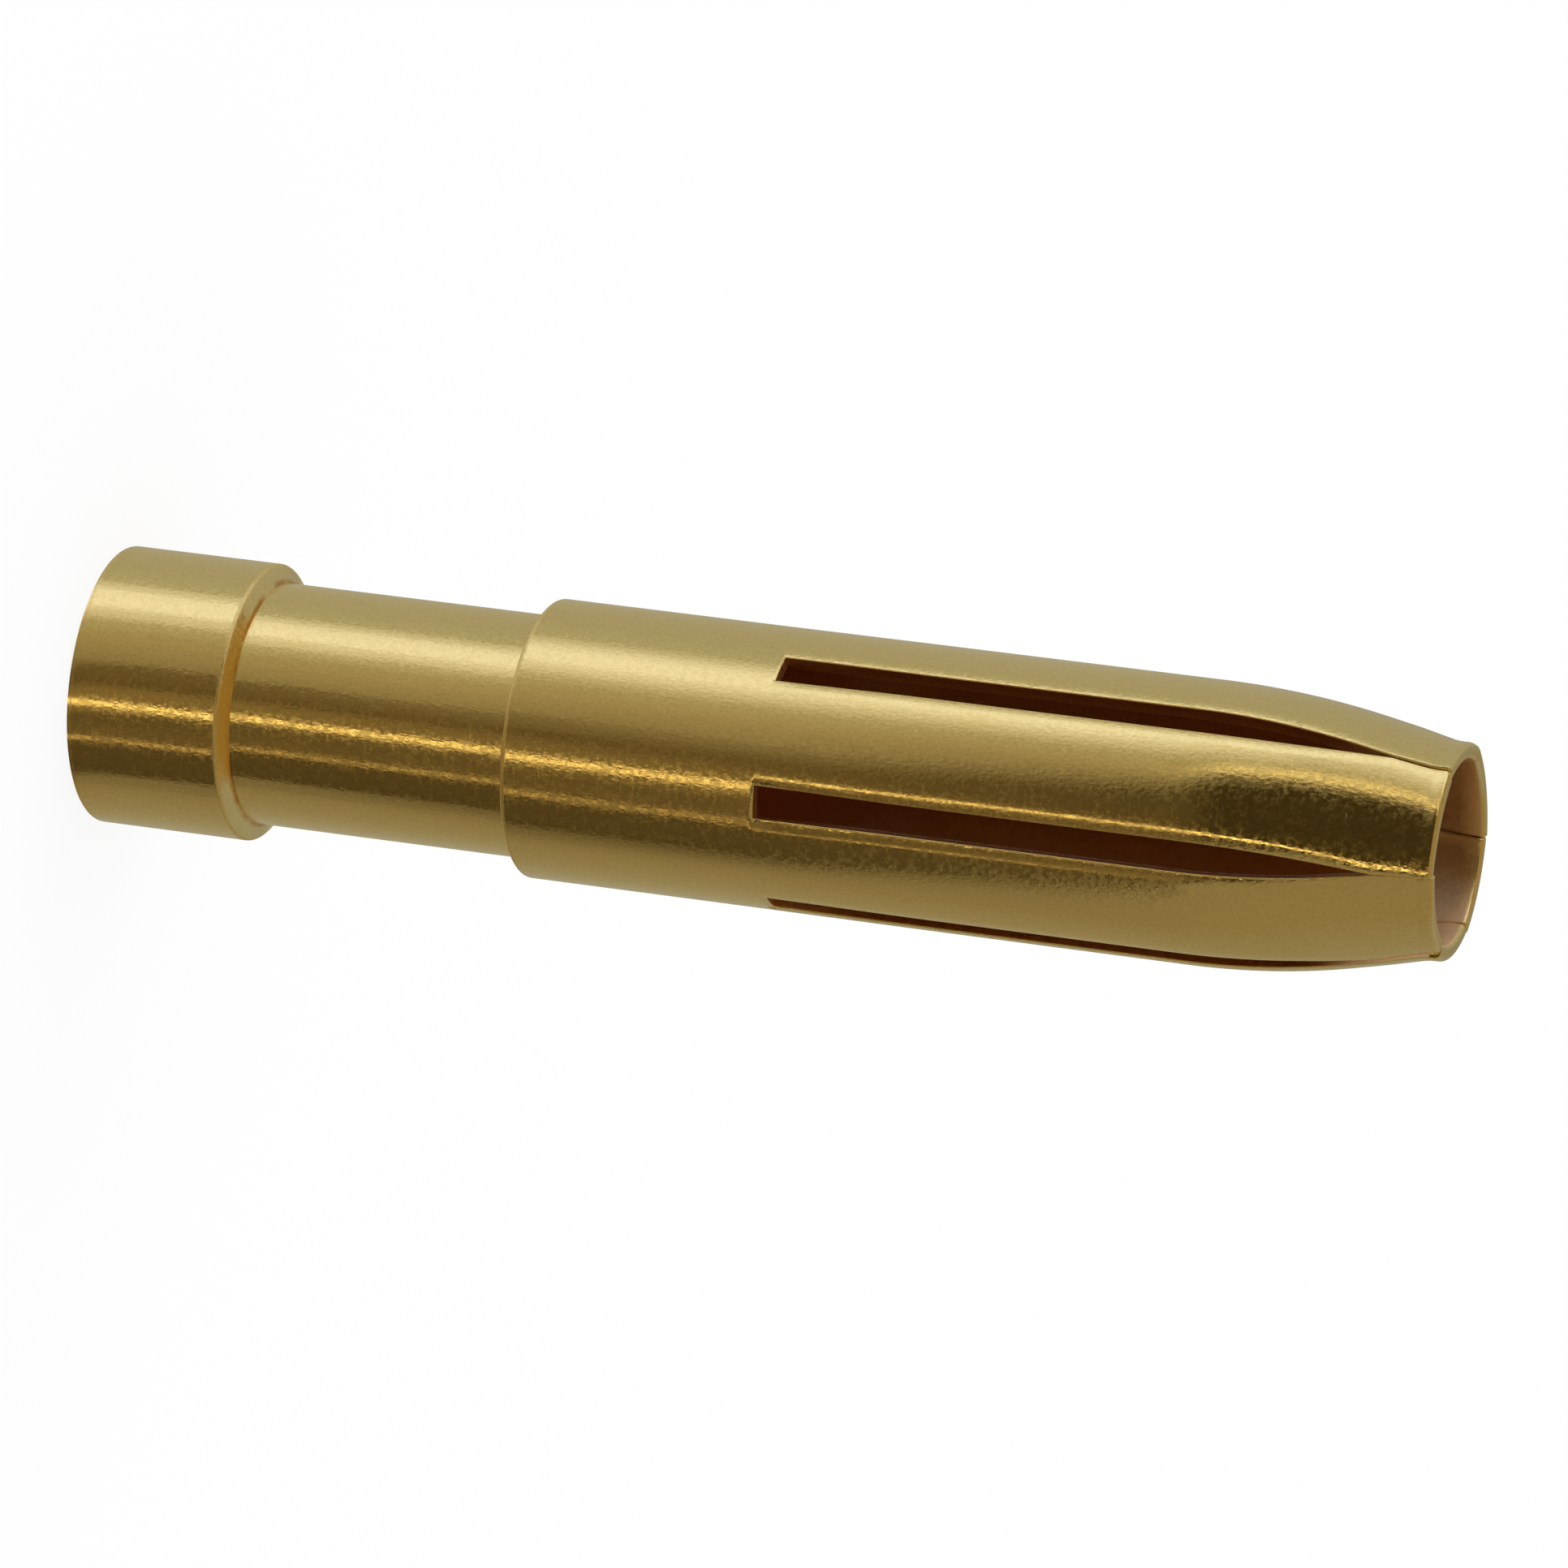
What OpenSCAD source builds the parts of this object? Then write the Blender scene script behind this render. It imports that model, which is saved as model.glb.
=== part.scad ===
// Crimp socket contact: one turned, drilled and slotted piece with spring tines closed in at the mouth.
// Millimetres. The axis is +Z: the wire entry is the face at z = 0 and the mouth is the top.

/* [Overall] */
// Outside diameter of the collar and of the socket body
body_d = 6; // [5.7:0.1:8]
// Length from the wire entry to the mouth
total_len = 30; // [28:0.5:40]

/* [Crimp barrel] */
// Length of the rear collar
collar_len = 3.6; // [2:0.05:5]
// Radius of the collar's front outer edge
collar_round = 0.2; // [0.05:0.01:0.3]
// Distance from the wire entry to the shoulder of the socket body
shoulder_z = 9.85; // [8:0.05:12]
// Depth of the groove between the collar and the shoulder
groove_depth = 0.39; // [0.32:0.01:0.6]
// Chamfer on the rear outer edge and on the shoulder's outer edge
edge_break = 0.08; // [0.03:0.01:0.2]
// Diameter of the bore for the stripped wire
wire_d = 3.5; // [2:0.1:4]
// Depth of the wire bore, to the end of its straight wall
wire_depth = 9; // [6:0.1:9.6]
// Chamfer at the wire entry
entry_chamfer = 0.3; // [0.1:0.05:0.5]

/* [Socket] */
// Diameter of the round pin that the socket takes
pin_d = 4; // [3.6:0.05:4.2]
// How much smaller than the pin the closed mouth is
pin_grip = 0.1; // [0.05:0.01:0.3]
// Thickness of the spring tines
tine_wall = 0.35; // [0.25:0.01:0.5]
// Distance from the wire entry to the end of the socket's straight wall
socket_floor_z = 13; // [12.6:0.1:14.5]
// Included angle of both drill points
drill_angle = 118; // [110:1:140]

/* [Tines] */
// Number of tines, with one slot between each two
tine_count = 6; // [4:1:8]
// Distance from the wire entry to the closed ends of the slots
slot_z = 15.5; // [14.6:0.1:20]
// Width of the saw that cuts the slots
slot_w = 0.72; // [0.5:0.02:0.9]
// Gap left between the tines at the mouth
tip_gap = 0.03; // [0.02:0.01:0.2]
// Angle at which the tines lean in
close_angle = 12; // [8:0.5:14]
// Radius of the bend where the tines start to lean in
bend_r = 17; // [8:0.5:22]
// Radius of the bend back to the axis at the tips
return_r = 1.2; // [0.6:0.1:3]
// Length of the tips that is parallel to the axis
tip_len = 0.22; // [0.16:0.01:1]
// Chamfer of the tips' outer edge
tip_break = 0.08; // [0.02:0.01:0.12]
// Chamfer of the tips' inner edge, which leads the pin in
tip_lead = 0.06; // [0.02:0.01:0.12]

/* [Hidden] */
$fn = 96;
// How far cutting shapes reach past what they cut
cut = 1;
// How far the first bend's arc stands above the line that it runs into
blend = 0.0005;
// Steps along the bend back, and along both bends in the outline of the slots
bend_steps = 4;
body_r = body_d / 2;
groove_r = body_r - groove_depth;
wire_r = wire_d / 2;
socket_r = body_r - tine_wall;
mouth_r = (pin_d - pin_grip) / 2;
point_slope = 1 / tan(drill_angle / 2);
// How far the tips move in, and the straight length between the two bends that this leaves
close_in = socket_r - mouth_r;
lean_len = (close_in - (bend_r + return_r) * (1 - cos(close_angle))) / sin(close_angle);
lean_out = [cos(close_angle), sin(close_angle)];
return_z = total_len - tip_len;
bend_z = return_z - (bend_r + return_r) * sin(close_angle) - lean_len * cos(close_angle);
bend_centre = [body_r - bend_r, bend_z];
return_centre = [body_r - close_in + return_r, return_z];
plating = [0.72, 0.56, 0.25];

// Half section of all that lies within a wall of the closed-in end, from the first bend up to z = top
module within_tines(wall_r, top) {
    depth = body_r - wall_r;
    lean_start = bend_centre + (bend_r - depth - blend) * lean_out;
    polygon([
        [0, bend_z],
        [wall_r, bend_z],
        lean_start,
        for (i = [bend_steps : -1 : 0])
            let (turn = close_angle * i / bend_steps)
                return_centre - (return_r + depth) * [cos(turn), sin(turn)],
        [wall_r - close_in, top],
        [0, top]
    ]);
    intersection() {
        translate(bend_centre) circle(bend_r - depth);
        translate([0, bend_z]) square([wall_r, lean_start[1] - bend_z + lean_len / 2]);
    }
}

// Half section of the turned outside, with the tines closed in
module turned_outline() {
    polygon([
        [0, 0],
        [body_r - edge_break, 0],
        [body_r, edge_break],
        [body_r, collar_len - collar_round],
        [body_r - collar_round, collar_len],
        [groove_r, collar_len],
        [groove_r, shoulder_z],
        [body_r - edge_break, shoulder_z],
        [body_r, shoulder_z + edge_break],
        [body_r, bend_z],
        [0, bend_z]
    ]);
    translate([body_r - collar_round, collar_len - collar_round]) circle(collar_round);
    difference() {
        within_tines(body_r, total_len);
        translate([body_r - close_in, total_len])
            polygon([[-tip_break, 0], [0, -tip_break], [cut, -tip_break], [cut, cut], [-tip_break, cut]]);
    }
}

// Half section of the drilled wire bore, with its entry chamfer and drill point
module wire_bore() {
    polygon([
        [0, -cut],
        [wire_r + entry_chamfer + cut, -cut],
        [wire_r, entry_chamfer],
        [wire_r, wire_depth],
        [0, wire_depth + wire_r * point_slope]
    ]);
}

// Half section of the socket: its drill point, its straight wall and the inside of the closed-in tines
module socket_bore() {
    polygon([
        [0, socket_floor_z - socket_r * point_slope],
        [socket_r, socket_floor_z],
        [socket_r, bend_z],
        [0, bend_z]
    ]);
    within_tines(socket_r, total_len + cut);
    translate([mouth_r, total_len])
        polygon([[-tip_lead, cut], [-tip_lead, -tip_lead], [0, -tip_lead], [tip_lead + cut, cut]]);
}

module turned_piece() {
    rotate_extrude() difference() {
        turned_outline();
        wire_bore();
        socket_bore();
    }
}

// Half the slot's width where the tines have moved in by d
function half_gap(d) = (slot_w + (tip_gap - slot_w) * d / close_in) / 2;

// One side of a slot, as [half width, height], from its closed end to past the mouth
slot_side = [
    [slot_w / 2, slot_z],
    [slot_w / 2, bend_z - slot_w],
    for (i = [0.5 : bend_steps])
        let (turn = close_angle * i / bend_steps)
            [half_gap(bend_r * (1 - cos(turn))), bend_z + bend_r * sin(turn)],
    for (i = [bend_steps - 0.5 : -1 : 0])
        let (turn = close_angle * i / bend_steps)
            [half_gap(close_in - return_r * (1 - cos(turn))), return_z - return_r * sin(turn)],
    [tip_gap / 2, total_len + cut]
];

// One slot through one wall of the tube, on the +X axis
module slot() {
    other_side = [for (i = [len(slot_side) - 1 : -1 : 0]) [-slot_side[i][0], slot_side[i][1]]];
    translate([mouth_r / 2, 0, 0])
        rotate([90, 0, 90])
            linear_extrude(body_r)
                polygon(concat(slot_side, other_side));
}

module contact() {
    color(plating) difference() {
        turned_piece();
        for (i = [0 : tine_count - 1]) rotate(i * 360 / tine_count) slot();
    }
}

contact();
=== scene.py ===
# %% [markdown]
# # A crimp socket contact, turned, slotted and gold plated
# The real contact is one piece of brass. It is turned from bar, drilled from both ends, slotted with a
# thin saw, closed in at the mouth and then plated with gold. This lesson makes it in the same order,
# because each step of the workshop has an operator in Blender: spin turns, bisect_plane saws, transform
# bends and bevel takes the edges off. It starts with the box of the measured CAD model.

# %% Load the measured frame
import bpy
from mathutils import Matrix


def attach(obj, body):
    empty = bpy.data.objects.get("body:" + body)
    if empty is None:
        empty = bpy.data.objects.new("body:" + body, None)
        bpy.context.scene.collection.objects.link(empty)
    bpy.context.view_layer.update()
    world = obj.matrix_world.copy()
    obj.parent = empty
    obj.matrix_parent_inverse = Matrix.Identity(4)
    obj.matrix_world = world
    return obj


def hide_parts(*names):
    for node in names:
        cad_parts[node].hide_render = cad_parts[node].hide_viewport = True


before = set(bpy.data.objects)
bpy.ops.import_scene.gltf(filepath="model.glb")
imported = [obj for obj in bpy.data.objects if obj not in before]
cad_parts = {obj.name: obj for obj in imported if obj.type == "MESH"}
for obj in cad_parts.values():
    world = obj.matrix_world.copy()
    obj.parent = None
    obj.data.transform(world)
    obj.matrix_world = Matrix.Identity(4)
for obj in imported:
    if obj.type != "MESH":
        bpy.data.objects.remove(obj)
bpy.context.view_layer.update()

MM = 0.001          # the frame is in metres, and a contact is easier to think about in millimetres
print("nodes in the frame:", len(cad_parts))

# %% [markdown]
# ## Tools
# bmesh holds the operators that shape the metal, and mathutils the matrices that bend it. The Standard view
# shows every colour as it is mixed, without the soft shoulder that film has.

# %% Load the tools
from math import asin, atan2, cos, degrees, hypot, pi, radians, sin, tan

import bmesh
import bpy
from mathutils import Matrix, Vector

SCENE = bpy.context.scene
SCENE.view_settings.view_transform = "Standard"
print("view transform:", SCENE.view_settings.view_transform)

# %% [markdown]
# ## The half section
# A turned part is drawn as half a section: a chain of edges from the point of the wire drill, out over the
# rear face, along the outside and back down the socket to the point of the other drill. Corners that the
# lathe rounds are bevelled while the section is still flat, which is far easier than on the finished solid.
# The tines are drawn straight. Bending keeps their length, so the tube starts out a little longer than the
# finished contact.

# %% Sizes of the turned piece, in millimetres
BODY_R = 3.0
GROOVE_R = 2.61
WIRE_R = 1.75
SOCKET_R = 2.65
COLLAR_LEN = 3.6
COLLAR_CONE = 0.17
SHOULDER_Z = 9.85
WIRE_DEPTH = 9.0
ENTRY_CHAMFER = 0.3
SOCKET_FLOOR_Z = 13.0
DRILL_POINT = radians(118)
DRILL_SLOPE = 1 / tan(DRILL_POINT / 2)

# The tines: where the slots end, how wide the saw is, and how the tips are closed in
TINES = 6
SLOT_Z = 15.5
SLOT_W = 0.72
CLOSE_IN = 0.70
CLOSE_ANGLE = radians(12)
BEND_R = 17.0
RETURN_R = 1.2
TIP_LEN = 0.22
TOTAL_LEN = 30.0

# What follows from them: the lengths along a tine, and how long the tube was before it was closed in
LEAN_LEN = (CLOSE_IN - (BEND_R + RETURN_R) * (1 - cos(CLOSE_ANGLE))) / sin(CLOSE_ANGLE)
RETURN_Z = TOTAL_LEN - TIP_LEN
BEND_Z = RETURN_Z - (BEND_R + RETURN_R) * sin(CLOSE_ANGLE) - LEAN_LEN * cos(CLOSE_ANGLE)
BEND_ARC = BEND_R * CLOSE_ANGLE
RETURN_ARC = RETURN_R * CLOSE_ANGLE
STRAIGHT_LEN = BEND_Z + BEND_ARC + LEAN_LEN + RETURN_ARC + TIP_LEN
print(f"first bend at {BEND_Z:.3f} mm, tube {STRAIGHT_LEN:.3f} mm long before closing")

# %% Draw the section and round its corners
ENTRY_ROUND = 0.03
REAR_ROUND = 0.10
COLLAR_ROUND = 0.05
SHOULDER_ROUND = 0.085
TIP_ROUND_OUTSIDE = 0.12
TIP_ROUND_INSIDE = 0.10
CORNER_STEPS = 5
TRUE_ARC = 0.5      # the bevel profile that makes a part of a circle

# Each point is (radius, height, corner round).
SECTION = [
    (0, WIRE_DEPTH + WIRE_R * DRILL_SLOPE, 0),
    (WIRE_R, WIRE_DEPTH, 0),
    (WIRE_R, ENTRY_CHAMFER, ENTRY_ROUND),
    (WIRE_R + ENTRY_CHAMFER, 0, ENTRY_ROUND),
    (BODY_R, 0, REAR_ROUND),
    (BODY_R, COLLAR_LEN - COLLAR_CONE, COLLAR_ROUND),
    (GROOVE_R, COLLAR_LEN, 0),
    (GROOVE_R, SHOULDER_Z, 0),
    (BODY_R, SHOULDER_Z, SHOULDER_ROUND),
    (BODY_R, STRAIGHT_LEN, TIP_ROUND_OUTSIDE),
    (SOCKET_R, STRAIGHT_LEN, TIP_ROUND_INSIDE),
    (SOCKET_R, SOCKET_FLOOR_Z, 0),
    (0, SOCKET_FLOOR_Z - SOCKET_R * DRILL_SLOPE, 0),
]


def draw_section():
    bm = bmesh.new()
    corners = [bm.verts.new((r, 0, z)) for r, z, _ in SECTION]
    for a, b in zip(corners, corners[1:]):
        bm.edges.new((a, b))
    for corner, (_, _, size) in zip(corners, SECTION):
        if size:
            bmesh.ops.bevel(bm, geom=[corner], offset=size, offset_type="OFFSET", segments=CORNER_STEPS,
                            profile=TRUE_ARC, affect="VERTICES", material=-1)
    return bm


contact = draw_section()
print(f"half section: {len(contact.verts)} points, {len(contact.edges)} edges")

# %% [markdown]
# ## Turning
# Spin carries the section once round the axis. use_merge closes the seam, and the points of the two drills,
# which lie on the axis, are merged into one each afterwards. The number of facets is chosen so that the
# edges of the slots fall well between two of them.

# %% Turn the section
FACETS = 114
SAME_POINT = 1e-5       # points that lie closer together are one


def turn(bm):
    bmesh.ops.spin(bm, geom=bm.verts[:] + bm.edges[:], cent=(0, 0, 0), axis=(0, 0, 1), angle=2 * pi,
                   steps=FACETS, use_merge=True)
    bmesh.ops.remove_doubles(bm, verts=bm.verts[:], dist=SAME_POINT)
    bmesh.ops.recalc_face_normals(bm, faces=bm.faces[:])


turn(contact)
print(f"turned: {len(contact.faces)} faces")

# %% [markdown]
# ## Sawing the slots
# Three saw cuts straight across the tube make six slots. bisect_plane scores both flanks of each cut, the
# faces between the flanks are deleted, and bridge_loops joins what is left of the outside to the inside.
# Level rings are scored first, so that the tines have enough points along them to bend smoothly.

# %% Score rings for the bends
TUBE_RINGS = 10
BEND_RINGS = 20
LEAN_RINGS = 4
RETURN_RINGS = 8
BELOW_SLOTS = 0.08


def even_steps(start, length, count):
    return [start + length * i / count for i in range(count)]


def everything_above(bm, z):
    """The faces above that height with their edges and points, each once and always in the same order."""
    faces = [f for f in bm.faces if f.calc_center_median().z > z]
    edges = dict.fromkeys(e for f in faces for e in f.edges)
    verts = dict.fromkeys(v for f in faces for v in f.verts)
    return list(verts) + list(edges) + faces


ring_heights = ([SLOT_Z - BELOW_SLOTS]
                + even_steps(SLOT_Z, BEND_Z - SLOT_Z, TUBE_RINGS)
                + even_steps(BEND_Z, BEND_ARC, BEND_RINGS)
                + even_steps(BEND_Z + BEND_ARC, LEAN_LEN, LEAN_RINGS)
                + even_steps(BEND_Z + BEND_ARC + LEAN_LEN, RETURN_ARC, RETURN_RINGS)
                + [STRAIGHT_LEN - TIP_LEN])
for ring_height in ring_heights:
    bmesh.ops.bisect_plane(contact, geom=everything_above(contact, SOCKET_FLOOR_Z), dist=SAME_POINT,
                           plane_co=(0, 0, ring_height), plane_no=(0, 0, 1))
print(f"{len(ring_heights)} rings scored")

# %% Cut the slots through
TINE_TURN = 2 * pi / TINES
SAW_CUTS = range(TINES // 2)


def flank_distance(point, cut):
    """How far a point lies from the middle plane of saw cut number cut."""
    return point.y * cos(cut * TINE_TURN) - point.x * sin(cut * TINE_TURN)


def saw(bm):
    for cut in SAW_CUTS:
        flank = Vector((-sin(cut * TINE_TURN), cos(cut * TINE_TURN), 0))
        for side in (-1, 1):
            bmesh.ops.bisect_plane(bm, geom=everything_above(bm, SLOT_Z), dist=SAME_POINT,
                                   plane_co=flank * side * SLOT_W / 2, plane_no=flank)
    waste = [f for f in bm.faces if f.calc_center_median().z > SLOT_Z
             and any(abs(flank_distance(f.calc_center_median(), cut)) < SLOT_W / 2 for cut in SAW_CUTS)]
    bmesh.ops.delete(bm, geom=waste, context="FACES")


saw(contact)
print(f"{TINES} slots cut: {len(contact.faces)} faces are left")

# %% Close the flanks of the slots
MID_WALL_R = (BODY_R + SOCKET_R) / 2


def slot_number(point):
    return round(degrees(atan2(point.y, point.x)) / degrees(TINE_TURN)) % TINES


def close_flanks(bm):
    for number in range(TINES):
        rim = [e for e in bm.edges if e.is_boundary
               and slot_number((e.verts[0].co + e.verts[1].co) / 2) == number]
        walls = [e for e in rim
                 if len({hypot(v.co.x, v.co.y) > MID_WALL_R for v in e.verts}) == 1]
        bmesh.ops.bridge_loops(bm, edges=walls)
    bmesh.ops.recalc_face_normals(bm, faces=bm.faces[:])


close_flanks(contact)
open_edges = sum(1 for e in contact.edges if not e.is_manifold)
print(f"slotted: {len(contact.faces)} faces, {open_edges} open edges")

# %% [markdown]
# ## Breaking the sawn edges
# The saw leaves sharp edges, and tumbling before plating rounds them to a few hundredths of a millimetre.
# That is small, but it is what catches the light along every slot, so it is made as real geometry. Bevel
# gets only the outward corners round each slot: the two inner corners at a slot's end stay as sawn. The
# outer edges are also rolled in a little, less and less over the last millimetres before the mouth. Their
# points get a mark, because the plating is grainier on them.

# %% Round the edges of the slots
SAWN_EDGE_ROUND = 0.035
SAWN_EDGE_STEPS = 4
SHARP = radians(50)


def round_sawn_edges(bm):
    sharp = [e for e in bm.edges if e.is_convex and e.calc_face_angle() > SHARP
             and min(v.co.z for v in e.verts) > SLOT_Z - SAME_POINT]
    bmesh.ops.bevel(bm, geom=sharp, offset=SAWN_EDGE_ROUND, offset_type="OFFSET", segments=SAWN_EDGE_STEPS,
                    profile=TRUE_ARC, affect="EDGES", clamp_overlap=False, material=-1)
    return len(sharp)


print(f"{round_sawn_edges(contact)} sawn edges rounded")

# %% Roll the edges in
EDGE_ROLL = 0.03
ROLL_FADES_OVER = 3.0
SAME_WALL = 0.01        # a point this close to a wall is counted as on it
SAWN = "sawn"


def edge_roll(z):
    """How far the sawn edges are rolled in at that height, with less of it towards the mouth."""
    return EDGE_ROLL * min(1, (STRAIGHT_LEN - z) / ROLL_FADES_OVER)


def roll_edges(bm):
    """Press the outer edges round each slot in a little, as the saw and the tumbling do."""
    mark = bm.verts.layers.float.new(SAWN)
    reach = SAWN_EDGE_ROUND + SAME_WALL
    rolled = 0
    for v in bm.verts:
        radius = hypot(v.co.x, v.co.y)
        from_flank = min(abs(flank_distance(v.co, cut)) for cut in SAW_CUTS) - SLOT_W / 2
        if v.co.z > SLOT_Z - reach and from_flank < reach and radius > MID_WALL_R:
            v.co -= edge_roll(v.co.z) * Vector((v.co.x, v.co.y, 0)) / radius
            v[mark] = edge_roll(v.co.z) / EDGE_ROLL
            rolled += 1
    return rolled


print(f"{roll_edges(contact)} points rolled in")

# %% [markdown]
# ## Marking the inside
# Down in the bores and on the flanks of the slots a dark brown shade is painted on. The
# finish has to know which walls those are, so their points get a mark now, while the tines are still
# straight and a radius tells inside from outside. The mark is a mesh attribute that the shader can read.

# %% Mark the points of the bores and slots
INSIDE = "inside"


def dark_radius(z):
    """Up to which radius the walls at that height are bores or flanks of slots."""
    if z < (WIRE_DEPTH + SOCKET_FLOOR_Z) / 2:
        return WIRE_R
    in_slots = SLOT_Z - SAME_WALL < z < STRAIGHT_LEN - TIP_LEN
    return BODY_R - SAWN_EDGE_ROUND - edge_roll(z) if in_slots else SOCKET_R


def mark_inside(bm):
    mark = bm.verts.layers.float.new(INSIDE)
    for v in bm.verts:
        v[mark] = 1.0 if hypot(v.co.x, v.co.y) < dark_radius(v.co.z) + SAME_WALL else 0.0
    return sum(1 for v in bm.verts if v[mark])


print(f"{mark_inside(contact)} points lie in the bores and slots")

# %% [markdown]
# ## Closing the tines
# A closing tool presses all tines inwards at once. Each tine bends as a flat spring does: its cross section
# follows a path of two arcs with a straight lean between them. So every ring of a tine is moved as a whole,
# with one transform.

# %% The path of a tine
def tine_frame(number):
    """Axes of a tine: x outwards through its middle, y along the circumference, z up."""
    return Matrix.Rotation((number + 0.5) * TINE_TURN, 4, "Z")


def turned_about(radius, height, angle):
    """A turn about a line across the tine, at that radius and height. A positive angle closes the tine."""
    centre = Matrix.Translation((radius, 0, height))
    return centre @ Matrix.Rotation(-angle, 4, "Y") @ centre.inverted()


def along_path(s):
    """Where a cross section at the start of the first bend goes when it lies s along the tine."""
    in_bend = min(max(s, 0), BEND_ARC)
    in_lean = min(max(s - BEND_ARC, 0), LEAN_LEN)
    in_return = min(max(s - BEND_ARC - LEAN_LEN, 0), RETURN_ARC)
    in_tip = max(s - BEND_ARC - LEAN_LEN - RETURN_ARC, 0)
    bend = turned_about(BODY_R - BEND_R, BEND_Z, in_bend / BEND_R)
    lean = Matrix.Translation((-sin(CLOSE_ANGLE) * in_lean, 0, cos(CLOSE_ANGLE) * in_lean))
    back = turned_about(BODY_R - CLOSE_IN + RETURN_R, RETURN_Z, -in_return / RETURN_R)
    tip = Matrix.Translation((0, 0, in_tip))
    return tip @ back @ lean @ bend @ Matrix.Translation((0, 0, -max(s, 0)))


def moved_in_at(height):
    """How far the outside of a tine moves in at that height of the straight tube."""
    return BODY_R - (along_path(height - BEND_Z) @ Vector((BODY_R, 0, height))).x


print(f"the tips move in by {moved_in_at(STRAIGHT_LEN):.3f} mm")

# %% [markdown]
# ## How the tines settle
# No two tines spring back alike. The list gives for each tine, at the mouth, how far it stays outwards, how
# far it leans round the axis and how much wider it is on each side than the others. All of that grows from
# nothing at the start of the bend. The squeeze is the same for all: the slots close up a little from their
# ends on, narrow faster than the tines move in, and from some height on only a hairline is left of them.

# %% Bend and settle each tine
# Each tine: outwards, round the axis, and wider on each side, in millimetres at the mouth
SETTLED = [(-0.05, -0.055, 0.006), (-0.16, -0.013, -0.076), (-0.05, -0.04, -0.10),
           (0.0, -0.095, -0.075), (0.0, -0.11, 0.06), (0.03, -0.06, -0.02)]
MOUTH_R = BODY_R - CLOSE_IN
SLOT_CLOSES_UP = 0.06
CLOSES_UP_OVER = 3.0
SQUEEZE = 1.25
HAIRLINE = 0.006
HALF_WIDTH = BODY_R * sin(TINE_TURN / 2 - asin(SLOT_W / 2 / BODY_R))
LEVEL_DIGITS = 5


def widening(height, moved_in):
    """How much each flank of a tine is pressed outwards where the tine has moved in that far."""
    closed_up = SLOT_CLOSES_UP * min((height - SLOT_Z) / CLOSES_UP_OVER, 1)
    gap = max(HAIRLINE, SLOT_W - closed_up - SQUEEZE * moved_in)
    return (SLOT_W - moved_in - gap) / 2


def rings_of_tines(bm):
    """The points of the tines, gathered by tine and height."""
    rings = {}
    for v in bm.verts:
        if v.co.z > SLOT_Z + SAME_POINT:
            tine = int((degrees(atan2(v.co.y, v.co.x)) % 360) / degrees(TINE_TURN))
            rings.setdefault((tine, round(v.co.z, LEVEL_DIGITS)), []).append(v)
    return rings


def close_tines(bm):
    rings = rings_of_tines(bm)
    for (tine, height), ring in rings.items():
        out, aside, wider = SETTLED[tine]
        share = max(0, (height - BEND_Z) / (STRAIGHT_LEN - BEND_Z)) ** 2
        pressed = (widening(height, moved_in_at(height)) + wider * share) / cos(TINE_TURN / 2)
        settle = (Matrix.Rotation(aside * share / MOUTH_R, 4, "Z") @ Matrix.Translation((out * share, 0, 0))
                  @ Matrix.Diagonal((1, 1 + pressed / HALF_WIDTH, 1, 1)))
        axes = tine_frame(tine)
        move = axes @ settle @ along_path(height - BEND_Z) @ axes.inverted()
        bmesh.ops.transform(bm, matrix=move, verts=ring)
    return len(rings)


print(f"{close_tines(contact)} rings bent")

# %% Check the closed mouth
tip_z = max(v.co.z for v in contact.verts)
mouth = [hypot(v.co.x, v.co.y) for v in contact.verts if v.co.z > TOTAL_LEN - TIP_LEN]
print(f"length {tip_z:.3f} mm, mouth between radius {min(mouth):.3f} and {max(mouth):.3f} mm")

# %% [markdown]
# ## From bmesh to an object
# The part is modelled in millimetres and scaled once into the frame's metres. Shading is smooth, and a
# Weighted Normal modifier lets the large faces keep their true normals, so that the small rounds next to
# them stay crisp instead of smearing over the whole wall.

# %% Make the object
LARGE_FACES_DECIDE = 100


def make_object(name, bm):
    mesh = bpy.data.meshes.new(name)
    bm.to_mesh(mesh)
    bm.free()
    piece = bpy.data.objects.new(name, mesh)
    SCENE.collection.objects.link(piece)
    return piece


bmesh.ops.scale(contact, vec=(MM, MM, MM), verts=contact.verts[:])
bmesh.ops.recalc_face_normals(contact, faces=contact.faces[:])
for face in contact.faces:
    face.smooth = True
for edge in contact.edges:
    edge.smooth = edge.calc_face_angle(0) < SHARP
contact_piece = make_object("gold_contact", contact)
weighted = contact_piece.modifiers.new("true_wall_normals", "WEIGHTED_NORMAL")
weighted.mode = "FACE_AREA"
weighted.weight = LARGE_FACES_DECIDE
weighted.keep_sharp = True
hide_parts("contact")
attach(contact_piece, "root")
print(f"{contact_piece.name}: {len(contact_piece.data.polygons)} faces")

# %% [markdown]
# ## Writing a finish as sums
# A node tree is easier to read as arithmetic. This small class holds one socket: +, - and * on it add Math
# nodes, and its node method adds any other node, with its settings first and its inputs after them.

# %% The class for shader sums
def pick(sockets, key):
    """The socket with that number, or the one in use with that name."""
    if isinstance(key, int):
        return sockets[key]
    return next(s for s in sockets if s.name == key and s.enabled)


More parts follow.
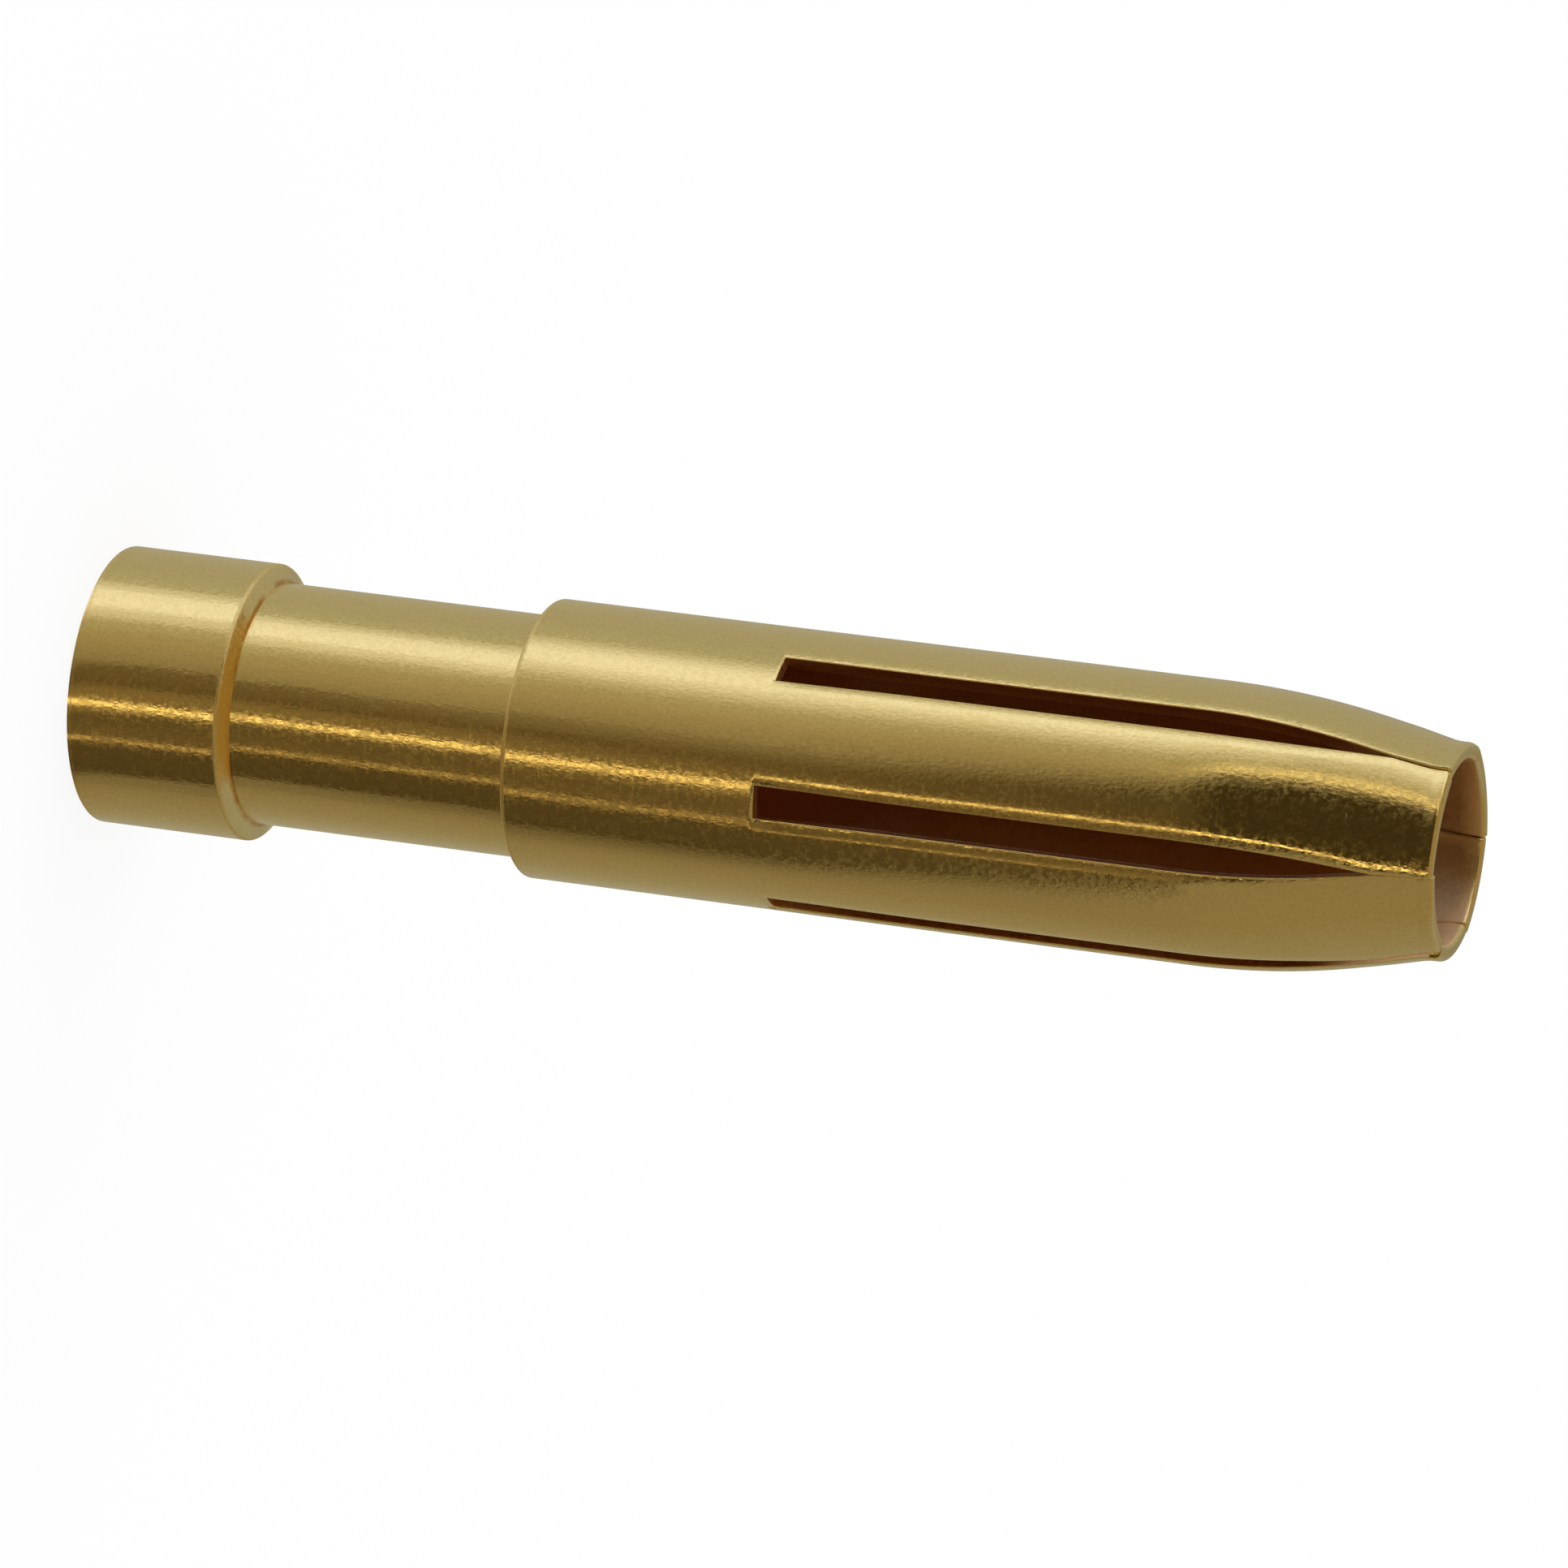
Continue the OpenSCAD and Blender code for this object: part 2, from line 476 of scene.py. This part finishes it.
class Sum:
    """One socket of a node tree, with arithmetic that adds Math nodes."""

    def __init__(self, tree, socket=None):
        self.tree = tree
        self.socket = socket

    def node(self, kind, settings=(), inputs=(), output=0):
        made = self.tree.nodes.new(kind)
        for name, value in dict(settings).items():
            setattr(made, name, value)
        for name, value in dict(inputs).items():
            if isinstance(value, Sum):
                self.tree.links.new(value.socket, pick(made.inputs, name))
            else:
                pick(made.inputs, name).default_value = value
        return Sum(self.tree, pick(made.outputs, output) if made.outputs else None)

    def math(self, operation, first, second):
        return self.node("ShaderNodeMath", {"operation": operation}, {0: first, 1: second})

    def __add__(self, other):
        return self.math("ADD", self, other)

    def __sub__(self, other):
        return self.math("SUBTRACT", self, other)

    def __rsub__(self, other):
        return self.math("SUBTRACT", other, self)

    def __mul__(self, other):
        return self.math("MULTIPLY", self, other)

    __radd__ = __add__
    __rmul__ = __mul__


def new_material(name):
    material = bpy.data.materials.new(name)
    material.use_nodes = True
    material.node_tree.nodes.clear()
    return material, Sum(material.node_tree)


# %% [markdown]
# ## The gold plating
# The plating is a thin satin film over tumbled brass. On the real one a fine grain and rougher spots break
# the bright reflections into sparks, faint turning marks run round the piece, small specks are paler, broad
# patches wave a little, and a few short scratches come from lying among others. Each of these is one noise.
# They all read Object coordinates, so that they stay on the metal.

# %% Coordinates and noise
OCTAVE_SHARE = 0.5      # each finer layer of a noise is half as strong as the one before

plating, start = new_material("satin_gold_plating")
place = start.node("ShaderNodeTexCoord", output="Object")
place_mm = start.node("ShaderNodeVectorMath", {"operation": "SCALE"}, {0: place, "Scale": 1 / MM})


def stretched(across, along):
    """Object coordinates with the axis of the contact scaled on its own."""
    return start.node("ShaderNodeVectorMath", {"operation": "MULTIPLY"},
                      {0: place_mm, 1: (across, across, along)})


def noise(vector, scale=1.0, detail=1.0):
    return start.node("ShaderNodeTexNoise", {"noise_dimensions": "3D"},
                      {"Vector": vector, "Scale": scale, "Detail": detail, "Roughness": OCTAVE_SHARE})


def ramp(value, low, high):
    """0 below low, 1 above high and a smooth step between them."""
    return start.node("ShaderNodeMapRange", {"interpolation_type": "SMOOTHSTEP"},
                      {"Value": value, "From Min": low, "From Max": high})


print("coordinates:", len(plating.node_tree.nodes), "nodes")

# %% Patterns of the plating
# How many of each there are on a millimetre, across and along the contact where the two differ
GRAIN_ACROSS, GRAIN_ALONG = 15.0, 8.0
MARKS_ACROSS, MARKS_ALONG = 1.6, 14.0
SCRATCHES_ACROSS, SCRATCHES_ALONG = 1.8, 16.0
PATCHES_PER_MM = 0.8
SPECKS_PER_MM = 14.0
SPARKS_PER_MM = 8.0
# From which level of the noise each of them starts, and at which it is full
SPECK_LEVELS = (0.3, 0.7)
SPARK_LEVELS = (0.40, 0.62)
SCRATCH_LEVELS = (0.75, 0.79)

grain = noise(stretched(GRAIN_ACROSS, GRAIN_ALONG))
turning_marks = noise(stretched(MARKS_ACROSS, MARKS_ALONG), detail=2.0)
patches = noise(place_mm, PATCHES_PER_MM, detail=3.0)
specks = ramp(noise(place_mm, SPECKS_PER_MM, detail=2.0), *SPECK_LEVELS)
sparks = ramp(noise(place_mm, SPARKS_PER_MM), *SPARK_LEVELS)
scratches = ramp(noise(stretched(SCRATCHES_ACROSS, SCRATCHES_ALONG)), *SCRATCH_LEVELS)
print("with the patterns:", len(plating.node_tree.nodes), "nodes")

# %% [markdown]
# ## Painted shade and light, bare brass and matt places
# In the bores and slots a dark brown shade is painted on. Low down the brass is bare, towards the mouth the
# painted shade gives way to a paler gold, and on one side of the mouth the inside is painted paler and less
# metallic, as where light falls.
# Outside, a red-brown shade is painted in the crease in front of the collar, the turned edges are matt, and
# the rear end is dull from handling. Each of these places is found with smooth steps along the axis or
# across it, and some also with a mark or a pattern.

# %% Find those places
# The heights, or for the painted lit side the distances from the axis, between which each place fades
MOUTH_ZONE = (27.0, 29.2)
DEEP_ZONE = (15.0, 18.0)
PAINTED_LIT_ZONE = (0.2, 1.9)
HANDLED_ZONE = (0.0, 2.5)
PAINTED_LIT_SIDE = (-0.70, 0.71, 0)      # the direction of that side, away from the axis
FADE = 0.04
CREASE_SHADE_REACH = 0.01
CREASE_SHADE_LEVELS = (0.40, 0.58)
COLLAR_MATT = 0.02
SHOULDER_MATT = 0.05
SHOULDER_MATT_MIDDLE = SHOULDER_Z + 0.04

inside = start.node("ShaderNodeAttribute", {"attribute_name": INSIDE}, output="Fac")
sawn = start.node("ShaderNodeAttribute", {"attribute_name": SAWN}, output="Fac")
z_mm = start.node("ShaderNodeSeparateXYZ", {}, {"Vector": place_mm}, output="Z")
to_painted_lit_side = start.node("ShaderNodeVectorMath", {"operation": "DOT_PRODUCT"},
                            {0: place_mm, 1: PAINTED_LIT_SIDE}, output="Value")


def near(height, reach):
    """1 within reach of that height on the contact, falling to 0 a little further away."""
    return 1 - ramp(start.math("ABSOLUTE", z_mm - height, 0), reach, reach + FADE)


near_mouth = ramp(z_mm, *MOUTH_ZONE)
deep_down = 1 - ramp(z_mm, *DEEP_ZONE)
# painted light: the inside of the mouth on one side is made paler and less metallic, as where light falls
painted_lit_side = inside * near_mouth * ramp(to_painted_lit_side, *PAINTED_LIT_ZONE)
handled_end = 1 - ramp(z_mm, *HANDLED_ZONE)
# painted shade in the crease in front of the collar, broken up by the patches
painted_crease_shade = near(COLLAR_LEN, CREASE_SHADE_REACH) * ramp(patches, *CREASE_SHADE_LEVELS)
matt_edges = (near(REAR_ROUND / 2, REAR_ROUND / 2)
              + near(COLLAR_LEN - COLLAR_CONE - COLLAR_MATT, COLLAR_MATT)
              + near(SHOULDER_MATT_MIDDLE, SHOULDER_MATT))
print("with the places:", len(plating.node_tree.nodes), "nodes")

# %% [markdown]
# ## The shader of the plating
# Grain, turning marks and patches are heights for one Bump node, a few thousandths of a millimetre in all.
# The roughness starts from that of clean gold, and each pattern and place adds its share. The colour is
# blended from the outside in: gold with paler specks, the painted shade in the crease, the browns of the
# bores with their painted shade, and the painted light on one side of the mouth.

# %% Relief and roughness
RELIEF = 0.0023 * MM
SAWN_GRAIN = 2.0
MARKS_HEIGHT = 0.1
PATCHES_HEIGHT = 0.4
MARK_LEVELS = (0.40, 0.65)
# The roughness of clean gold, and what each pattern or place adds to it
CLEAN_ROUGH = 0.03
MARKS_ROUGH = 0.05
SPECKS_ROUGH = 0.04
SPARKS_ROUGH = 0.12
PATCHES_ROUGH = 0.02
SCRATCHES_ROUGH = 0.15
HANDLED_ROUGH = 0.06
MATT_ROUGH = 0.35
INSIDE_ROUGH = 0.30

film = grain * (1 + SAWN_GRAIN * sawn) + MARKS_HEIGHT * turning_marks + PATCHES_HEIGHT * patches
relief = start.node("ShaderNodeBump", {}, {"Height": film, "Distance": RELIEF, "Strength": 1.0})
roughness = (CLEAN_ROUGH + MARKS_ROUGH * ramp(turning_marks, *MARK_LEVELS) + SPECKS_ROUGH * specks
             + SPARKS_ROUGH * sparks + PATCHES_ROUGH * patches + SCRATCHES_ROUGH * scratches
             + HANDLED_ROUGH * handled_end + MATT_ROUGH * matt_edges + INSIDE_ROUGH * inside)
print("with relief and roughness:", len(plating.node_tree.nodes), "nodes")

# %% Colour, and the finished shader
GOLD = (0.985, 0.81, 0.395, 1)
DEEP_GOLD = (0.905, 0.73, 0.335, 1)
# painted shade: this dark brown stands for the shade deep in the bores and down in the slots
PAINTED_SHADE_BROWN = (0.44, 0.165, 0.045, 1)
BARE_BRASS = (0.77, 0.44, 0.20, 1)
MOUTH_GOLD = (0.88, 0.66, 0.38, 1)
# painted light: the paler colour of the lit side inside the mouth
PAINTED_LIT_MOUTH = (0.80, 0.53, 0.30, 1)
# painted shade: the red-brown in the crease in front of the collar
CREASE_SHADE_BROWN = (0.68, 0.35, 0.09, 1)
PAINTED_LIT_DULLS = 0.6


def blend(factor, first, second):
    return start.node("ShaderNodeMix", {"data_type": "RGBA"}, {"Factor": factor, "A": first, "B": second},
                      output="Result")


outside = blend(painted_crease_shade, blend(specks, DEEP_GOLD, GOLD), CREASE_SHADE_BROWN)
# painted shade deep in the bores and on the slot flanks, giving way to a paler gold towards the mouth
bore = blend(deep_down, blend(near_mouth, PAINTED_SHADE_BROWN, MOUTH_GOLD), BARE_BRASS)
colour = blend(inside, outside, blend(painted_lit_side, bore, PAINTED_LIT_MOUTH))
metal = start.node("ShaderNodeBsdfPrincipled", {},
                   {"Base Color": colour, "Metallic": 1 - PAINTED_LIT_DULLS * painted_lit_side, "Roughness": roughness,
                    "Normal": relief})
start.node("ShaderNodeOutputMaterial", {}, {"Surface": metal})
contact_piece.data.materials.append(plating)
print("plating shader:", len(plating.node_tree.nodes), "nodes")

# %% [markdown]
# ## The camera
# The photograph was taken with a long lens, a little from the side of the mouth, with the contact lying
# across the picture. The contact stands on its rear face here, so the camera is turned on its side instead:
# its right hand points along the axis. The angles come from fitting the outline of the real one.

# %% Set the camera
CAMERA_AZIMUTH = radians(44.536)
CAMERA_HEIGHT_ANGLE = radians(17.319)
CAMERA_ROLL = radians(7.290)
CAMERA_AWAY = 223.56
CAMERA_LENS = 242.24
CAMERA_SENSOR = 36.0
NEAREST_SEEN, FARTHEST_SEEN = 10, 10000
LOOK_AT_Z = 15.0
LOOK_RIGHT, LOOK_UP = 0.1825, -0.3539

facing = Vector((cos(CAMERA_AZIMUTH), sin(CAMERA_AZIMUTH), 0))
across = Vector((sin(CAMERA_AZIMUTH), -cos(CAMERA_AZIMUTH), 0))
axis = Vector((0, 0, 1))
toward = cos(CAMERA_HEIGHT_ANGLE) * facing + sin(CAMERA_HEIGHT_ANGLE) * axis
along = cos(CAMERA_HEIGHT_ANGLE) * axis - sin(CAMERA_HEIGHT_ANGLE) * facing
right = cos(CAMERA_ROLL) * along + sin(CAMERA_ROLL) * across
up = cos(CAMERA_ROLL) * across - sin(CAMERA_ROLL) * along
spot = LOOK_AT_Z * axis + LOOK_RIGHT * right + LOOK_UP * up + CAMERA_AWAY * toward

camera_data = bpy.data.cameras.new("long_lens")
camera_data.lens = CAMERA_LENS
camera_data.sensor_width = CAMERA_SENSOR
camera_data.clip_start = NEAREST_SEEN * MM
camera_data.clip_end = FARTHEST_SEEN * MM
camera = bpy.data.objects.new("camera", camera_data)
SCENE.collection.objects.link(camera)
camera.matrix_world = Matrix((
    (right.x, up.x, toward.x, spot.x * MM),
    (right.y, up.y, toward.y, spot.y * MM),
    (right.z, up.z, toward.z, spot.z * MM),
    (0, 0, 0, 1),
))
SCENE.camera = camera
print("camera at", [round(c, 2) for c in spot], "mm")

# %% [markdown]
# ## The floor and the light
# The floor is plain white paper under an even white sky, with one soft lamp from the side that is up in the
# picture. The sky and the lamp are kept so low that the paper only just comes out white. To the camera and
# in reflections most of its white is its own glow, which keeps the shadow as faint as in the photograph.

# %% The paper floor
FLOOR_HALF = 1500
PAPER = (0.93, 0.93, 0.93, 1)
WHITE_LIGHT = (1, 1, 1, 1)
SHADOW_LIFT = 0.85

paper, paper_start = new_material("white_paper")
paper_skin = paper_start.node("ShaderNodeBsdfDiffuse", {}, {"Color": PAPER})
paper_glow = paper_start.node("ShaderNodeEmission", {}, {"Color": WHITE_LIGHT, "Strength": 1.0})
seen = sum(paper_start.node("ShaderNodeLightPath", output=f"Is {ray} Ray")
           for ray in ("Camera", "Glossy", "Transmission"))
paper_mix = paper_start.node("ShaderNodeMixShader", {},
                             {0: SHADOW_LIFT * seen, 1: paper_skin, 2: paper_glow})
paper_start.node("ShaderNodeOutputMaterial", {}, {"Surface": paper_mix})
sheet = bmesh.new()
bmesh.ops.create_grid(sheet, x_segments=1, y_segments=1, size=FLOOR_HALF * MM)
floor = make_object("paper_floor", sheet)
floor.data.materials.append(paper)
print(f"paper {2 * FLOOR_HALF} mm wide")

# %% The even sky
SKY_LEVEL = 1.0

world = bpy.data.worlds.new("even_sky")
world.use_nodes = True
world.node_tree.nodes.clear()
sky = Sum(world.node_tree)
sky_light = sky.node("ShaderNodeBackground", {}, {"Color": WHITE_LIGHT, "Strength": SKY_LEVEL})
sky.node("ShaderNodeOutputWorld", {}, {"Surface": sky_light})
SCENE.world = world
print("sky:", len(world.node_tree.nodes), "nodes")

# %% The soft lamp
LAMP_WATTS = 0.3
LAMP_SIDE = 300
LAMP_ACROSS, LAMP_RISE, LAMP_BACK = 350, 450, 50

lamp_data = bpy.data.lights.new("soft_lamp", "AREA")
lamp_data.energy = LAMP_WATTS
lamp_data.size = LAMP_SIDE * MM
lamp = bpy.data.objects.new("soft_lamp", lamp_data)
lamp.location = MM * (LAMP_ACROSS * across + LAMP_RISE * axis - LAMP_BACK * facing)
lamp.rotation_euler = lamp.location.to_track_quat("Z", "Y").to_euler()
SCENE.collection.objects.link(lamp)
print(f"lamp {lamp.location.length / MM:.0f} mm away")

# %% [markdown]
# ## The light round the contact
# Polished metal looks like whatever stands around it, so a studio puts cards and lights round it. Dark card
# on the camera's side gives the dark bands along the middle, narrow gaps in it give the bright lines, and a
# bright card on the upper side gives the broad light band. A round wall turns reflections by twice its own
# angle: where it faces 20 degrees to the side, it shows what stands 40 degrees to the side. So the light is
# drawn as a fan. It starts at the foot of the wall and runs off at twice the wall's angle, first over the
# floor and then up a screen. Its brightness is given as stops, like a colour ramp, and changes evenly from
# one to the next. A plain card lies over the top of the screen.

# %% The stops of the fan
BROWN = (1, 0.70, 0.29)
EMBER = (1, 0.75, 0.34)
AMBER = (1, 0.82, 0.47)
HONEY = (1, 0.89, 0.58)
WARM = (1, 0.95, 0.76)
WHITE = (1, 1, 1)

# Each stop: the angles in degrees from the camera on the near floor, the far floor, the foot of the screen
# and the upper screen; its brightness on the near floor, the far floor and the screen; and its tint.
STOPS = [
    ((-180, -180, -183, -183), (0.41, 0.41, 0.27), HONEY),
    ((-160, -160, -160, -160), (0.37, 0.37, 0.34), WARM),
    ((-100, -100, -90, -80), (0.26, 0.26, 0.27), AMBER),
    ((-92, -78, -36, -26), (0.21, 0.22, 0.26), AMBER),
    ((-79, -65, -28, -19), (0.075, 0.085, 0.05), BROWN),
    ((-52.5, -53, -25, -18), (0.085, 0.10, 0.05), BROWN),
    ((-49, -48, -24, -17.5), (0.56, 0.33, 0.05), BROWN),
    ((-46, -43, -23, -17), (0.13, 0.20, 0.05), BROWN),
    ((-33, -30, -20, -16), (0.11, 0.11, 0.05), BROWN),
    ((-23, -19.5, -17.5, -15.5), (0.21, 0.22, 0.2), BROWN),
    ((-19, -14, -13.8, -13), (1.5, 1.1, 2.2), EMBER),
    ((-15.5, -9.5, -10.5, -10.5), (0.21, 0.23, 0.15), BROWN),
    ((-1, -2, -8, -8), (0.115, 0.10, 0.045), BROWN),
    ((4, 14, 30, 36), (0.13, 0.09, 0.045), BROWN),
    ((18, 26, 40, 42), (0.28, 0.28, 0.2), AMBER),
    ((34, 38, 44, 47), (0.36, 0.35, 1.0), AMBER),
    ((46, 47, 50, 53), (0.41, 0.41, 0.40), HONEY),
    ((65, 63, 68, 73), (0.92, 0.92, 0.93), WHITE),
    ((76, 76, 78, 82), (0.90, 0.90, 0.90), WHITE),
    ((91, 92, 94, 100), (0.43, 0.43, 0.43), WARM),
    ((110, 110, 110, 110), (0.40, 0.40, 0.40), WARM),
    ((160, 160, 160, 160), (0.41, 0.41, 0.38), WARM),
    ((180, 180, 183, 183), (0.42, 0.42, 0.27), HONEY),
]
print(len(STOPS), "stops")

# %% Lines and rows of the fan, in millimetres
NEAR_FLOOR, FAR_FLOOR, SCREEN, UPPER_SCREEN = range(4)
ABOVE_PAPER = 0.01
SCREEN_AWAY = 170
SCREEN_TOP = 220
# Each row: how far from the foot, how high, and which of the angles and of the levels hold there.
FAN_ROWS = [
    (0, ABOVE_PAPER, NEAR_FLOOR, NEAR_FLOOR),
    (55, ABOVE_PAPER, NEAR_FLOOR, NEAR_FLOOR),
    (80, ABOVE_PAPER, FAR_FLOOR, FAR_FLOOR),
    (SCREEN_AWAY, ABOVE_PAPER, SCREEN, SCREEN),
    (SCREEN_AWAY, 16, SCREEN, SCREEN),
    (SCREEN_AWAY, 30, UPPER_SCREEN, SCREEN),
    (SCREEN_AWAY, SCREEN_TOP, UPPER_SCREEN, SCREEN),
]
FAN_FOOT_R = 2.92           # just inside the wall of the collar
WIDEST_COLUMN = 10


def between(a, b, share):
    return [p + (q - p) * share for p, q in zip(a, b)]


def fan_lines():
    """The stops as (angles, levels, tint), with more of them put in where two lie far apart."""
    lines = STOPS[:1]
    for a, b in zip(STOPS, STOPS[1:]):
        steps = max(1, round((b[0][0] - a[0][0]) / WIDEST_COLUMN))
        lines += [[between(p, q, (i + 1) / steps) for p, q in zip(a, b)] for i in range(steps)]
    return lines


def fan_point(angles, row):
    away, rise, which_angle, _ = row
    turn_there = radians(angles[which_angle])
    foot = FAN_FOOT_R * (cos(turn_there / 2) * facing + sin(turn_there / 2) * across)
    return foot + away * (cos(turn_there) * facing + sin(turn_there) * across) + rise * axis


print(len(fan_lines()), "lines across", len(FAN_ROWS), "rows")

# %% Bend a grid into the fan
GLOW = "glow"


def light_piece(name, bm):
    """An object that glows with its own colours and is seen in reflections only."""
    material, begin = new_material(name)
    shine = begin.node("ShaderNodeAttribute", {"attribute_name": GLOW}, output="Color")
    glow = begin.node("ShaderNodeEmission", {}, {"Color": shine, "Strength": 1.0})
    begin.node("ShaderNodeOutputMaterial", {}, {"Surface": glow})
    piece = make_object(name, bm)
    piece.data.materials.append(material)
    piece.visible_camera = piece.visible_diffuse = piece.visible_shadow = False
    piece.visible_transmission = piece.visible_volume_scatter = False
    return piece


def make_fan():
    lines = fan_lines()
    bm = bmesh.new()
    bmesh.ops.create_grid(bm, x_segments=len(lines) - 1, y_segments=len(FAN_ROWS) - 1, size=1.0)
    glow = bm.verts.layers.float_color.new(GLOW)
    for v in bm.verts:
        angles, levels, tint = lines[round((v.co.x + 1) / 2 * (len(lines) - 1))]
        row = FAN_ROWS[round((v.co.y + 1) / 2 * (len(FAN_ROWS) - 1))]
        level = levels[row[3]]
        v.co = MM * fan_point(angles, row)
        v[glow] = (*(level * part for part in tint), 1)
    return light_piece("light_fan", bm)


print(f"fan of {len(make_fan().data.polygons)} faces")

# %% A card over the top
ROOF_R = 175                # a little wider than the screen
ROOF_SIDES = 64
ROOF_LEVEL = 0.31


def make_roof():
    bm = bmesh.new()
    bmesh.ops.create_circle(bm, cap_ends=True, segments=ROOF_SIDES, radius=ROOF_R * MM,
                            matrix=Matrix.Translation((0, 0, SCREEN_TOP * MM)))
    glow = bm.verts.layers.float_color.new(GLOW)
    for v in bm.verts:
        v[glow] = (*(ROOF_LEVEL * part for part in BROWN), 1)
    return light_piece("light_roof", bm)


print(f"{len(make_roof().data.polygons)} card over the top")
